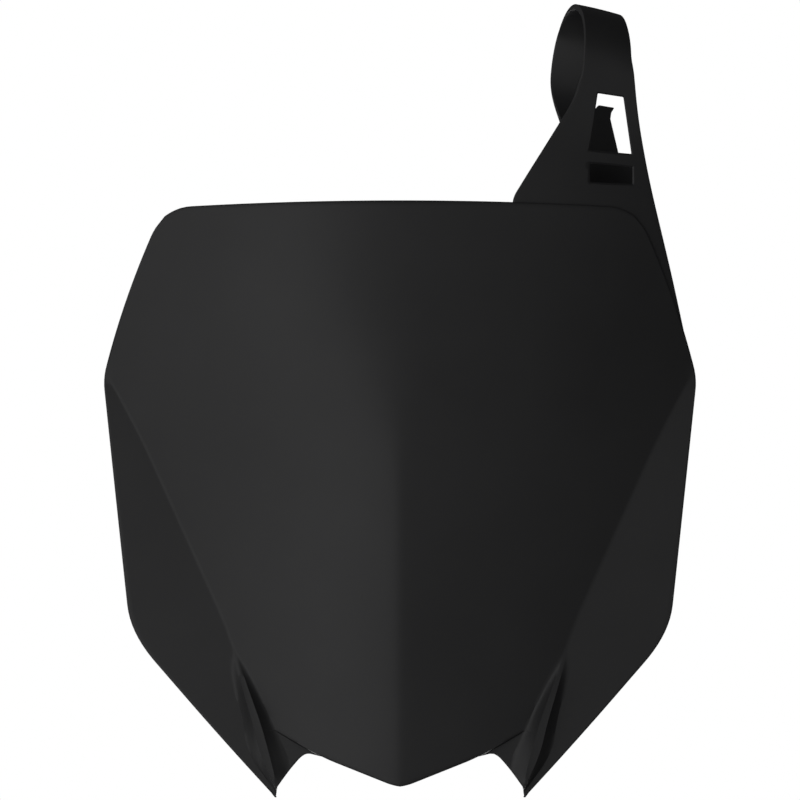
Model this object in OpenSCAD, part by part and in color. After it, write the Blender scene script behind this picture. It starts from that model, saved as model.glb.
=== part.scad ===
// Front number board of an off-road motorcycle, moulded in one piece: a keeled shell with
// two side wings, fins that run down into pointed tusks, a slotted tab and a strap that
// loops over the handlebar. +X is to the right of someone facing the board, -Y is the way
// the board faces and +Z is up. The origin is the middle of the bolt hole behind the shell.

/* [Board outline] */
// Width across the widest level
board_width = 251; // [236:0.5:266]
// Height of the widest level
widest_level = 51.5; // [46:0.5:57]
// Height of the top edge at the centre
top_level = 126.2; // [118:0.1:134]
// Radius of the arched top edge
top_arch = 1700; // [1000:50:4000]
// Distance between the upper corners
corner_width = 198.6; // [188:0.1:208]
// Radius of the upper corners
corner_round = 17; // [14:0.5:22]
// Outward bow of the sides above the widest level
side_bow = 2.6; // [0.5:0.1:4]
// Width across the lower corners of the wings
hip_width = 227.2; // [217:0.1:237]
// Height of the lower corners of the wings
hip_level = -56; // [-61:0.5:-51]
// Distance between the tusk tips
tusk_spread = 104.6; // [100:0.1:110]
// Height of the tusk tips
tusk_level = -125.2; // [-130:0.1:-124]
// Height of the keel's lower tip
keel_tip_level = -120.3; // [-124:0.1:-118]

/* [Shell] */
// Wall of the shell
wall = 2.6; // [2.2:0.1:3.4]
// Radius of the crown from side to side
crown_radius = 236; // [210:1:290]
// Radius of the bow from top to bottom
bow_radius = 650; // [550:10:1000]
// Height at which the bow stands furthest forward
bow_level = -20; // [-35:1:0]
// Fall of the face for each mm away from the keel
keel_slope = 0.15; // [0.1:0.01:0.19]
// Radius of the keel at its sharp lower end
keel_round = 2.6; // [1.5:0.1:5]
// Fall of the wings for each mm away from the crease
wing_slope = 0.06; // [0:0.01:0.12]
// Half width of the fillet along the crease
crease_fillet = 1.1; // [0.6:0.1:1.3]
// Rounding of the front edge
edge_round = 0.6; // [0.3:0.1:0.8]

/* [Fins and lip] */
// Height where the crease turns into the fin
fin_start = -63; // [-66:0.5:-60]
// Height of the fin's flat top above the wing
fin_height = 7.5; // [4:0.1:8.5]
// Step from the lip back to the web at the fin's foot
lip_step = 0.4; // [0.3:0.1:1]

/* [Tab] */
// Distance from the upper corner inwards to the middle of the strap
strap_inset = 12; // [9:0.5:15]
// Distance that the tab lies behind the front face
tab_step = 1.2; // [0.8:0.1:1.5]
// Thickness of the tab
tab_thick = 3; // [2.6:0.1:3.6]
// Height of the slot's lower edge above the board's top edge
slot_rise = 7.5; // [5:0.5:9]
// Width of the slot
slot_wide = 18; // [16:0.5:19]
// Height of the slot
slot_tall = 7.4; // [6:0.1:8]
// Height of the bar between the slot and the window
bar_tall = 5.8; // [4.5:0.1:7]
// Height of the window
window_tall = 24; // [20:0.5:25]
// Width of the window at its lower end
window_wide = 17.8; // [16:0.1:18.5]
// Width of the window at its upper end
window_narrow = 10.8; // [9:0.1:13]

/* [Hook behind the tab] */
// Free space between the tab and the hook
hook_gap = 8; // [6:0.5:9]
// Thickness of the hook
hook_thick = 3; // [2:0.1:4]
// Angle by which the hook leans back from the tab
hook_lean = 14; // [8:1:18]

/* [Strap] */
// Width of the strap
strap_width = 20.4; // [18:0.1:22]
// Thickness of the strap
strap_thick = 2.4; // [1.8:0.1:3]
// Height of the loop's middle above the board's top edge
loop_height = 53.8; // [50:0.1:57]
// Height of the loop above its middle
loop_rise = 28.1; // [25:0.1:32]
// Depth of the loop from front to back
loop_depth = 51; // [44:1:58]
// Backward slant of the strap's front as it rises
strap_lean = 0.12; // [0.08:0.01:0.16]
// Backward slant of the strap's front towards the right
strap_yaw = 0.27; // [0.22:0.01:0.3]
// Length of the buttonhole across the strap's end
hole_long = 7.6; // [6:0.1:8]
// Width of the buttonhole along the strap
hole_wide = 3.4; // [3:0.1:4]

/* [Mounting] */
// Distance from the keel's front to the bolt hole
bolt_back = 42; // [38:0.5:50]
// Diameter of the bolt hole
bolt_hole = 6.6; // [6.2:0.1:7]
// Thickness of the bolt lug
lug_thick = 6; // [4:0.5:8]
// Width of the bolt lug
lug_width = 26; // [22:1:30]
// Thickness of the gussets beside the lug
gusset_thick = 3; // [2:0.1:3.5]
// Length of each gusset up and down the shell
gusset_reach = 24; // [16:1:32]
// Thickness of the rib along the keel
rib_thick = 2.4; // [1.8:0.1:3]
// Height of the rib behind the shell
rib_tall = 5; // [3:0.5:8]
// Height of the rib's upper end
rib_top = 92; // [70:1:105]
// Bore of the locating socket
socket_bore = 10; // [8:0.5:12]
// Wall of the locating socket
socket_wall = 2.6; // [2:0.1:3.5]
// Depth of the locating socket's bore
socket_depth = 14; // [10:0.5:18]
// Height of the locating socket
socket_level = -88; // [-92:0.5:-80]

/* [Hidden] */
shell_black = "#1c1c1e";

// Helpers
function lerp(a, b, t) = a + (b - a) * t;
function ramp(p, a, b) = let (t = min(1, max(0, (p - a) / (b - a)))) t * t * (3 - 2 * t);
function unit(v) = v / norm(v);
function flat(lists) = [for (list = lists) for (item = list) item];
function two_triangles(a, b, c, d) = [[a, b, c], [a, c, d]];

// A line of straight runs joined by parabolic bends: each vertex is [position, value, reach of its bend]
function bend_at(line, i, p) =
    let (
        before = (line[i][1] - line[i - 1][1]) / (line[i][0] - line[i - 1][0]),
        after = (line[i + 1][1] - line[i][1]) / (line[i + 1][0] - line[i][0]),
        reach = line[i][2],
        inside = max(0, reach - abs(p - line[i][0]))
    )
    (after - before) * inside * inside / (4 * reach);
function bent(line, p) =
    let (bends = [for (i = [1 : len(line) - 2]) bend_at(line, i, p)])
    lookup(p, [for (vertex = line) [vertex[0], vertex[1]]]) + bends * [for (bend = bends) 1];

// Outline: the top edge by its distance from the centre, the side by its height
corner_half = corner_width / 2;
corner_start = corner_half - 11;
top_inner = corner_half - 7;
tusk_half = tusk_spread / 2;
function top_edge(x) =
    top_level - x * x / (2 * top_arch) - pow(max(0, x - corner_start), 2) / (2 * corner_round);
shoulder_drop = 11.2;
shoulder_out = 4.2;
shoulder = [top_level - shoulder_drop, corner_half + shoulder_out];
hip = [hip_level, hip_width / 2];
widest = [widest_level, board_width / 2];
tusk = [tusk_level, tusk_half];
edge_line = [
    [tusk[0], tusk[1], 1],
    [lerp(tusk[0], hip[0], 0.37), lerp(tusk[1], hip[1], 0.37) + 0.8, 18],
    [hip[0], hip[1], 12],
    [widest[0], widest[1], 5],
    [lerp(widest[0], shoulder[0], 0.5), lerp(widest[1], shoulder[1], 0.5) + side_bow, 25],
    [shoulder[0], shoulder[1], 4],
    [top_edge(corner_half), corner_half, 1]
];
function edge_at(z) = bent(edge_line, z);

// The crease between face and wing, which goes on downwards as the crest of the fin
crease_inset = 2.4;
top_inset = 6;
notch_tip = [tusk_half - 0.7, tusk_level + 4.6];
crease_line = [
    [notch_tip[1], notch_tip[0], 1],
    [lerp(notch_tip[1], fin_start, 0.22), tusk_half + 2.4, 5],
    [lerp(notch_tip[1], fin_start, 0.46), tusk_half + 6.2, 6],
    [lerp(notch_tip[1], fin_start, 0.72), tusk_half + 11.6, 6],
    [fin_start, tusk_half + 17.3, 1.5],
    [fin_start + 13, tusk_half + 22, 6],
    [widest_level - 24.5, widest[1] - 16.3, 14],
    [widest_level, edge_at(widest_level) - crease_inset, 1]
];
function crease_at(z) =
    z > widest_level
        ? edge_at(z) - lerp(crease_inset, top_inset, (z - widest_level) / (top_level - widest_level))
        : bent(crease_line, z);

// Feet of the fin's two flanks, as distances from its crest
notch_foot_level = tusk_level + 11.8;
inner_gap = [
    [notch_foot_level, 7.4, 1],
    [notch_foot_level + 7.4, 7.6, 4],
    [notch_foot_level + 16.4, 5.2, 6],
    [fin_start - 19, 3.8, 6],
    [fin_start - 3, crease_fillet, 6],
    [fin_start, crease_fillet, 1]
];
outer_gap = [
    [tusk_level + 2.3, 0.7, 1],
    [tusk_level + 17.3, 9, 8],
    [fin_start - 17, 5.6, 6],
    [fin_start - 7.5, 3.8, 3],
    [fin_start, crease_fillet, 1]
];
function inner_at(z) = crease_at(z) - bent(inner_gap, z);
function outer_at(z) = crease_at(z) + bent(outer_gap, z);

// The face's lower lip, and the hollow edge of the web between lip and tusk
lip_side_level = keel_tip_level + 23.7;
lip_side = [inner_at(lip_side_level), lip_side_level];
lip_bend = [tusk_half - 19.3, keel_tip_level + 12.3];
lip_line = [
    [0, keel_tip_level, 1],
    [3, keel_tip_level + 0.4, 3],
    [lip_bend[0], lip_bend[1], 6],
    [lip_side[0], lip_side[1], 1]
];
notch_top = [tusk_half - 12.7, keel_tip_level + 14.5];
notch_line = [
    [lip_bend[0] + 1, lip_bend[1] + 0.7, 1],
    [notch_top[0], notch_top[1], 3],
    [notch_top[0] + 5.9, lerp(notch_top[1], notch_tip[1], 0.42), 4],
    [notch_tip[0], notch_tip[1], 1]
];
notch_start = notch_top[0] - 1.2;
notch_foot = inner_at(notch_foot_level);

// Depth of the front face: a crown, a bow and a keel that is sharp below and fades out upwards
keel_fade = 31;
keel_fade_from = -20;
keel_fade_run = 85;
function keel_spread(z) = keel_round + keel_fade * pow(max(0, z - keel_fade_from) / keel_fade_run, 4);
function face_depth(x, z) =
    let (spread = keel_spread(z))
    pow(z - bow_level, 2) / (2 * bow_radius) - bolt_back
        + x * x / (2 * crown_radius)
        + keel_slope * (sqrt(x * x + spread * spread) - spread);
function face_fall(x, z) = (face_depth(x + 0.1, z) - face_depth(x - 0.1, z)) / 0.2;

// Past the crease the skin turns, through a fillet, from the face's fall to the wing's own slope
function skin_depth(x, z) =
    let (
        crease = crease_at(z),
        start = crease - crease_fillet,
        fall = face_fall(crease, z),
        near = min(x - start, 2 * crease_fillet),
        far = max(0, x - start - 2 * crease_fillet),
        turn = (wing_slope - fall) * near * near / (4 * crease_fillet),
        wing = face_depth(start, z) + fall * near + turn + wing_slope * far
    )
    x <= start ? face_depth(x, z) : lerp(wing, face_depth(x, z), ramp(z, widest_level - 4, widest_level + 6));
function skin_slant(x, z) =
    norm([1, skin_depth(x + 0.5, z) - skin_depth(x - 0.5, z), skin_depth(x, z + 0.5) - skin_depth(x, z - 0.5)]);

// Columns of the mesh over half a shell: keel to inner foot, crest, outer foot and edge
main_cols = 16;
web_col = 12;
flank_cols = 3;
crest_col = main_cols + flank_cols;
foot_col = crest_col + flank_cols;
last_col = foot_col + 4;
// Rows: the top edge, the widest level, the fin's start, the lip, and the web down to the tusk
widest_row = 9;
fin_row = 21;
lip_row = 27;
last_row = lip_row + 6;
step_draft = 0.7;
// Shares of the way from the fin's inner foot to its crest, and from there over the flat top to the outer foot
flank_in = [[0, 0], [1, 0.35], [2, 0.75], [3, 1]];
flank_out = [[0, 0], [1, 0.45], [2, 0.7], [3, 1]];

function side_level(row) =
    lookup(row, [
        [1, top_level - 9],
        [widest_row, widest_level],
        [fin_row, fin_start + 0.5],
        [lip_row, lip_side_level]
    ]);
function keel_level(row) =
    lookup(row, [
        [0, top_level],
        [widest_row, widest_level + 2],
        [fin_row, fin_start - 6],
        [lip_row, keel_tip_level]
    ]);
function edge_drop(row) = lookup(row, [[1, 2], [3, 0], [18, 0], [fin_row, 3.5], [lip_row, 6.6]]);
function web_share(row) = max(0, (row - lip_row - 1) / (last_row - lip_row - 1));

// Places of the mesh's points in the front view, for the right half
function side_point(row, col) =
    let (
        level = side_level(min(row, lip_row)) - (row > lip_row ? step_draft : 0),
        share = web_share(row),
        inner_z = lerp(level, notch_foot_level, share),
        crest_z = lerp(level, notch_tip[1], share),
        outer_z = lerp(level, tusk_level + 3, share),
        edge_z = lerp(level - edge_drop(min(row, lip_row)), tusk_level, share),
        inner = [inner_at(inner_z), inner_z],
        crest = [crease_at(crest_z), crest_z],
        outer = [outer_at(outer_z), outer_z],
        edge = [edge_at(edge_z), edge_z]
    )
    col <= crest_col ? lerp(inner, crest, lookup(col - main_cols, flank_in))
    : col <= foot_col ? lerp(crest, outer, lookup(col - crest_col, flank_out))
    : lerp(outer, edge, (col - foot_col) / (last_col - foot_col));
function spread_at(col) = pow(col / main_cols, 1.6);
function top_point(col) =
    let (
        past = (col - main_cols) / (last_col - main_cols),
        x = col <= main_cols ? spread_at(col) * top_inner : lerp(top_inner, corner_half, past)
    )
    [x, top_edge(x)];
function lip_point(col) = let (x = spread_at(col) * lip_side[0]) [x, bent(lip_line, x)];
// The face is stretched between its four edges
function face_point(row, col) =
    let (
        u = spread_at(col),
        v = row / lip_row,
        upright = lerp(top_point(col), lip_point(col), v),
        level = lerp([0, keel_level(row)], side_point(row, main_cols), u),
        corners = lerp(lerp([0, top_level], top_point(main_cols), u), lerp([0, keel_tip_level], lip_side, u), v)
    )
    upright + level - corners;
function web_point(row, col) =
    let (
        x = lerp(notch_start, notch_foot, (col - web_col) / (main_cols - web_col)),
        draft = lerp(0.2, 1, min(1, (col - web_col) / 2)) * step_draft,
        under_lip = lip_point(col) - [0, draft]
    )
    lerp(under_lip, [x, bent(notch_line, x)], web_share(row));
function low_point(col) =
    let (x = lerp(notch_foot, notch_tip[0], (col - main_cols) / flank_cols))
    col <= crest_col
        ? [x, bent(notch_line, x)]
        : lerp(notch_tip, [tusk_half, tusk_level], (col - crest_col) / (last_col - crest_col));
function grid_point(row, col) =
    row == 0 ? top_point(col)
    : col < main_cols ? (row <= lip_row ? face_point(row, col) : web_point(row, col))
    : row < last_row ? side_point(row, col)
    : low_point(col);
grid = [for (row = [0 : last_row]) [for (col = [0 : last_col]) grid_point(row, col)]];

// Rim of the half mesh, from the top of the keel round to the keel's tip, and its outward directions
rim_cells = concat(
    [for (col = [0 : last_col]) [0, col]],
    [for (row = [1 : last_row]) [row, last_col]],
    [for (col = [last_col - 1 : -1 : web_col]) [last_row, col]],
    [for (row = [last_row - 1 : -1 : lip_row]) [row, web_col]],
    [for (col = [web_col - 1 : -1 : 0]) [lip_row, col]]
);
rim_last = len(rim_cells) - 1;
function rim_place(i) = grid[rim_cells[i][0]][rim_cells[i][1]];
function opposite(p) = [-p[0], p[1]];
function rim_out(i) =
    let (
        before = i == 0 ? opposite(rim_place(1)) : rim_place(i - 1),
        after = i == rim_last ? opposite(rim_place(i - 1)) : rim_place(i + 1),
        run = unit(after - before)
    )
    [-run[1], run[0]];
rim_outs = [for (i = [0 : rim_last]) rim_out(i)];
function on_rim(row, col) = row == 0 || col == last_col || row == last_row || row >= lip_row && col <= web_col;
function rim_index(row, col) = [for (i = [0 : rim_last]) if (rim_cells[i] == [row, col]) i][0];
function pulled_in(row, col, inset) =
    on_rim(row, col) && (row <= lip_row || col >= web_col)
        ? grid[row][col] - inset * rim_outs[rim_index(row, col)]
        : grid[row][col];

// The fin stands forward of the skin on concave flanks
flank_curve = 1.7;
tip_thinning = 0.45;
function flank_share(col) =
    col <= crest_col
        ? lookup(col - main_cols, flank_in)
        : min(1, (1 - lookup(col - crest_col, flank_out)) / (1 - flank_out[1][1]));
function fin_at(col, z) =
    fin_height * pow(flank_share(col), flank_curve)
        * ramp(fin_start - z, 0, 30)
        * (1 - tip_thinning * ramp(-z, -tusk_level - 13, -tusk_level));

// The flat web lies behind the face, level with the foot of the fin. The wall behind the lip thickens to meet it
pad_rows = 5;
pad_cols = 4;
function recess(x, z) =
    let (foot = inner_at(z))
    x >= foot ? 0 : skin_depth(foot, z) + wing_slope * (x - foot) - skin_depth(x, z);
function step_at(p, row, col) =
    row <= lip_row ? 0 : recess(p[0], p[1]) + lip_step * lookup(col - main_cols, [[0, 1], [1, 0.5], [2, 0]]);
function pad_at(p, row, col) =
    let (share = ramp(row, lip_row - pad_rows, lip_row) * ramp(col, web_col - pad_cols, web_col))
    share == 0 ? 0 : share * recess(p[0], p[1]);
function front_depth(p, row, col) = skin_depth(p[0], p[1]) - fin_at(col, p[1]) + step_at(p, row, col);
function back_depth(p, row, col) = skin_depth(p[0], p[1]) + wall * skin_slant(p[0], p[1]) + pad_at(p, row, col);

// Points of the shell: a front and a back sheet, and three rings that round the rim between them
back_round = 0.3;
front_half = [for (row = [0 : last_row]) [for (col = [0 : last_col])
    let (p = pulled_in(row, col, edge_round)) [p[0], front_depth(p, row, col), p[1]]]];
back_half = [for (row = [0 : last_row]) [for (col = [0 : last_col])
    let (p = pulled_in(row, col, back_round)) [p[0], back_depth(p, row, col), p[1]]]];
function on_side(p, side) = [side * p[0], p[1], p[2]];
function sheet_points(half) =
    [for (row = half) for (col = [-last_col : last_col]) on_side(row[abs(col)], sign(col))];
function ring_point(i, level) =
    let (
        row = rim_cells[i][0],
        col = rim_cells[i][1],
        place = grid[row][col],
        front = front_depth(place, row, col),
        tuck = (1 - cos(45)) * edge_round,
        p = level == 1 ? place - tuck * rim_outs[i] : place,
        depths = [front + tuck, front + edge_round, back_depth(place, row, col) - back_round]
    )
    [p[0], depths[level - 1], p[1]];
rim_order = concat([for (i = [0 : rim_last]) [i, 1]], [for (i = [rim_last - 1 : -1 : 1]) [i, -1]]);
rim_total = len(rim_order);
ring_points = [for (level = [1 : 3]) for (stop = rim_order) on_side(ring_point(stop[0], level), stop[1])];

// Numbers of those points, and the triangles between them
row_count = 2 * last_col + 1;
sheet_count = row_count * (last_row + 1);
function front_id(row, col) = row * row_count + col + last_col;
function back_id(row, col) = sheet_count + front_id(row, col);
function rim_id(level, k) =
    let (stop = rim_order[k % rim_total], cell = rim_cells[stop[0]])
    level == 0 ? front_id(cell[0], stop[1] * cell[1])
    : level == 4 ? back_id(cell[0], stop[1] * cell[1])
    : 2 * sheet_count + (level - 1) * rim_total + k % rim_total;
function in_shell(row, col) = row < lip_row || (col >= 0 ? col : -col - 1) >= web_col;
shell_cells = [
    for (row = [0 : last_row - 1])
        for (col = [-last_col : last_col - 1])
            if (in_shell(row, col)) [row, col]
];
function front_cell(row, col) =
    two_triangles(front_id(row, col), front_id(row, col + 1), front_id(row + 1, col + 1), front_id(row + 1, col));
function back_cell(row, col) =
    two_triangles(back_id(row, col), back_id(row + 1, col), back_id(row + 1, col + 1), back_id(row, col + 1));
function rim_cell(level, k) =
    two_triangles(rim_id(level, k), rim_id(level + 1, k), rim_id(level + 1, k + 1), rim_id(level, k + 1));
module shell() {
    polyhedron(
        points = concat(sheet_points(front_half), sheet_points(back_half), ring_points),
        faces = flat(concat(
            [for (cell = shell_cells) front_cell(cell[0], cell[1])],
            [for (cell = shell_cells) back_cell(cell[0], cell[1])],
            [for (level = [0 : 3]) for (k = [0 : rim_total - 1]) rim_cell(level, k)]
        ))
    );
}

// Tab: it goes on upwards from the crown, bends away from the crown's slant and turns into the strap's front
strap_x = corner_half - strap_inset;
loop_level = top_level + loop_height;
tab_end = loop_level - 9;
bend_from = loop_level - 40;
bend_to = loop_level - 8;
tab_left_line = [
    [top_level - 18, strap_x - 36, 1],
    [top_level + 0.9, strap_x - 39.8, 3.5],
    [loop_level - 6, strap_x - 10.4, 10],
    [loop_level + 6, strap_x - 10.3, 1]
];
tab_root = [widest_level + 10.5, edge_at(widest_level + 10.5) - 0.6];
tab_right_line = [
    [tab_root[0], tab_root[1], 1],
    [top_level - 31.5, strap_x + 27.6, 8],
    [top_level + 7.8, strap_x + 18.2, 12],
    [top_level + 33.8, strap_x + 13.5, 10],
    [loop_level + 6, strap_x + 11, 1]
];
top_lean = (top_level - bow_level) / bow_radius;
function middle_depth(z) =
    let (
        crown = face_depth(strap_x, min(z, top_level)) + top_lean * max(0, z - top_level) + tab_step,
        run = min(max(0, z - bend_from), bend_to - bend_from)
    )
    crown - (top_lean - strap_lean) * (run * run / 2 / (bend_to - bend_from) + max(0, z - bend_to));
loop_front = middle_depth(loop_level);
function tab_depth(x, z) =
    let (crown = face_depth(x, min(z, top_level)) - face_depth(strap_x, min(z, top_level)))
    middle_depth(z) + lerp(crown, strap_yaw * (x - strap_x), ramp(z, bend_from, bend_to));
function tab_surface(t, u) =
    let (
        left_z = lerp(tab_left_line[0][0], tab_end, t),
        right_z = lerp(tab_root[0], tab_end, t),
        side = (u + 1) / 2,
        x = lerp(bent(tab_left_line, left_z), bent(tab_right_line, right_z), side),
        z = lerp(left_z, right_z, side)
    )
    [x, tab_depth(x, z), z];

// Strap: up, over and down behind in a loop that shifts to the left, twists and is drawn in towards its end
loop_start = 0;
loop_end = 244;
skew_start = -12;
strap_skew = -0.235;
strap_shift = 0.11;
root_flare = 2.2;
back_yaw = -0.12;
function strap_half(turn) = strap_width / 2 * (1 - 0.09 * ramp(turn, -10, 60) - 0.34 * ramp(turn, 186, 236));
function strap_surface(turn, u) =
    let (
        lift = loop_rise * sin(turn),
        reach = loop_depth / 2 * (1 - cos(turn)),
        half = strap_half(turn),
        flare = root_flare * (1 - ramp(turn, skew_start, 20)) * max(0, u),
        skew = strap_skew * ramp(turn, skew_start, 60),
        yaw = lerp(strap_yaw, back_yaw, ramp(turn, 70, 150))
    )
    [
        strap_x - strap_yaw * reach + strap_shift * lift + half * u + flare,
        loop_front + reach + strap_lean * lift + yaw * half * u,
        loop_level + lift + skew * half * u
    ];

// Tab and strap are one band of rings, with chamfered edges
tab_rings = 9;
loop_rings = 30;
ring_last = tab_rings + 1 + loop_rings;
band_cols = 6;
band_chamfer = 0.06;
function band_surface(s, u) =
    s <= tab_rings
        ? tab_surface(s / tab_rings, u)
        : strap_surface(lerp(loop_start, loop_end, (s - tab_rings - 1) / loop_rings), u);
function band_inward(s, u) =
    let (
        across = band_surface(s, u + 0.1) - band_surface(s, u - 0.1),
        along = band_surface(min(ring_last, s + 0.3), u) - band_surface(max(0, s - 0.3), u)
    )
    unit(cross(along, across));
function band_thick(s) = lerp(tab_thick, strap_thick, ramp(s, tab_rings - 2, tab_rings + 3));
band_across = [for (i = [0 : band_cols]) lerp(-1, 1, i / band_cols) * (1 - band_chamfer)];
band_section = concat(
    [for (u = band_across) [u, 0]],
    [[1, 0.25], [1, 0.75]],
    [for (u = band_across) [-u, 1]],
    [[-1, 0.75], [-1, 0.25]]
);
section_count = len(band_section);
function band_id(ring, i) = ring * section_count + i % section_count;
function band_cell(ring, i) =
    two_triangles(band_id(ring, i), band_id(ring + 1, i), band_id(ring + 1, i + 1), band_id(ring, i + 1));
module band() {
    polyhedron(
        points = [for (ring = [0 : ring_last]) for (p = band_section)
            band_surface(ring, p[0]) + p[1] * band_thick(ring) * band_inward(ring, p[0])],
        faces = concat(
            [[for (i = [0 : section_count - 1]) i]],
            flat([for (ring = [0 : ring_last - 1]) for (i = [0 : section_count - 1]) band_cell(ring, i)]),
            [[for (i = [section_count - 1 : -1 : 0]) band_id(ring_last, i)]]
        )
    );
}

// Window and slot, cut straight back through the tab
slot_mid = strap_x + 1.8;
slot_low = top_level + slot_rise;
window_low = slot_low + slot_tall + bar_tall;
window_mid = strap_x + 1.5;
slot_outline = [
    [-slot_wide / 2, 0.3],
    [slot_wide / 2, -0.3],
    [slot_wide / 2, slot_tall - 0.6],
    [-slot_wide / 2, slot_tall + 1]
];
window_outline = [
    [-window_wide / 2, 0.8],
    [window_wide / 2, -0.8],
    [window_wide / 2 - 3.4, window_tall - 0.8],
    [window_wide / 2 - 3.4 - window_narrow, window_tall + 0.8]
];
module cut_back(x, z, outline) {
    translate([x, loop_front + loop_depth / 2 - 5, z])
        rotate([90, 0, 0])
            linear_extrude(loop_depth)
                polygon(outline);
}

// Buttonhole through the strap's end
hole_turn = 228;
hole_middle = strap_surface(hole_turn, 0);
hole_across = unit(strap_surface(hole_turn, 1) - strap_surface(hole_turn, -1));
hole_inward = unit(cross(strap_surface(hole_turn + 1, 0) - strap_surface(hole_turn - 1, 0), hole_across));
hole_along = cross(hole_inward, hole_across);
module buttonhole() {
    half = (hole_long - hole_wide) / 2;
    columns = [hole_across, hole_along, hole_inward, hole_middle];
    multmatrix([for (axis = [0 : 2]) [for (column = columns) column[axis]]]) {
        for (side = [-1, 1])
            translate([side * half, 0, -2 * strap_thick])
                cylinder(d = hole_wide, h = 5 * strap_thick, $fn = 48);
        translate([-half, -hole_wide / 2, -2 * strap_thick])
            cube([2 * half, hole_wide, 5 * strap_thick]);
    }
}

module tab_and_strap() {
    difference() {
        band();
        cut_back(slot_mid, slot_low, slot_outline);
        cut_back(window_mid, window_low, window_outline);
        buttonhole();
    }
}

// Hook behind the tab that the strap's buttonhole goes over, set out from the slot
tab_yaw = atan(tab_depth(slot_mid + 0.5, slot_low) - tab_depth(slot_mid - 0.5, slot_low));
tab_tilt = atan(tab_depth(slot_mid, slot_low + 0.5) - tab_depth(slot_mid, slot_low - 0.5));
hook_back = tab_thick + hook_gap;
hook_outline = [
    [-11, -4.5],
    [9.8, -4.5],
    [9.8, slot_tall + 2],
    [3.8, slot_tall + 3],
    [3.4, slot_tall + bar_tall],
    [0.1, slot_tall + bar_tall + 14.4],
    [0.5, slot_tall + bar_tall + 17.1],
    [1.8, slot_tall + bar_tall + 19.2],
    [-4.9, slot_tall + bar_tall + 20.3],
    [-6.7, slot_tall + bar_tall + 18.4],
    [-7.9, slot_tall + bar_tall + 15.6],
    [-10.1, slot_tall + bar_tall - 0.4]
];
hook_foot = -4.5;
foot_wide = 16;
foot_tall = 3;
foot_sink = 0.8;
function hook_place(p) =
    let (
        run = (p[1] - hook_foot * cos(tab_tilt) + hook_back * sin(tab_tilt)) / cos(tab_tilt + hook_lean),
        back = hook_back + run * sin(hook_lean),
        up = hook_foot + run * cos(hook_lean)
    )
    [(p[0] + (back * cos(tab_tilt) + up * sin(tab_tilt)) * sin(tab_yaw)) / cos(tab_yaw), run];
module hook() {
    translate([slot_mid, tab_depth(slot_mid, slot_low), slot_low])
        rotate([-tab_tilt, 0, tab_yaw]) {
            translate([0, hook_back, hook_foot])
                rotate([90 - hook_lean, 0, 0])
                    translate([0, 0, -hook_thick])
                        linear_extrude(hook_thick)
                            polygon([for (p = hook_outline) hook_place(p)]);
            translate([-6.5, tab_thick - foot_sink, hook_foot])
                cube([foot_wide, hook_gap + foot_sink + 1.4, foot_tall]);
        }
}

// Mounting lug with its bolt hole along Z, and the gussets that carry it
lug_sink = 1.2;
function mid_wall(x, z) = skin_depth(abs(x), z) + lug_sink;
module bolt_lug() {
    half = lug_width / 2;
    translate([0, 0, -lug_thick / 2]) {
        cylinder(d = lug_width, h = lug_thick, $fn = 96);
        linear_extrude(lug_thick)
            polygon(concat(
                [[-half, 0]],
                [for (i = [-6 : 6]) [i * half / 6, mid_wall(i * half / 6, 0)]],
                [[half, 0]]
            ));
    }
    for (side = [-1, 1])
        gusset(side * (half - gusset_thick / 2));
}
module gusset(x) {
    foot = bolt_back / 5;
    translate([x - gusset_thick / 2, 0, 0])
        rotate([90, 0, 90])
            linear_extrude(gusset_thick)
                polygon(concat(
                    [for (i = [-4 : 4]) [mid_wall(x, i * gusset_reach / 4), i * gusset_reach / 4]],
                    [[-foot, lug_thick / 2], [-foot, -lug_thick / 2]]
                ));
}

// Rib along the inside of the keel, low at its upper end
module keel_rib() {
    steps = 12;
    low = socket_level + socket_bore / 2 + 1;
    levels = [for (i = [0 : steps]) lerp(low, rib_top, i / steps)];
    heights = [for (i = [0 : steps]) rib_tall * min(1, 0.35 + (steps - i) / 3)];
    translate([-rib_thick / 2, 0, 0])
        rotate([90, 0, 90])
            linear_extrude(rib_thick)
                polygon(concat(
                    [for (z = levels) [mid_wall(0, z) + 0.3, z]],
                    [for (i = [steps : -1 : 0]) [mid_wall(0, levels[i]) + heights[i], levels[i]]]
                ));
}

// Socket for the locating pin of the fork's bracket, open to the back
socket_floor = skin_depth(0, socket_level) + wall + 0.4;
module socket() {
    translate([0, skin_depth(0, socket_level) + 1.6, socket_level])
        rotate([-90, 0, 0])
            cylinder(d = socket_bore + 2 * socket_wall, h = wall - 1.2 + socket_depth, $fn = 96);
}

module number_board() {
    color(shell_black)
        difference() {
            union() {
                shell();
                tab_and_strap();
                hook();
                bolt_lug();
                keel_rib();
                socket();
            }
            translate([0, 0, -lug_thick])
                cylinder(d = bolt_hole, h = 2 * lug_thick, $fn = 64);
            translate([0, socket_floor, socket_level])
                rotate([-90, 0, 0])
                    cylinder(d = socket_bore, h = socket_depth + 5, $fn = 64);
        }
}

number_board();
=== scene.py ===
from math import atan, cos, hypot, pi, radians, sin, sqrt
import bpy, bmesh
from mathutils import Matrix, Vector


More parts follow.
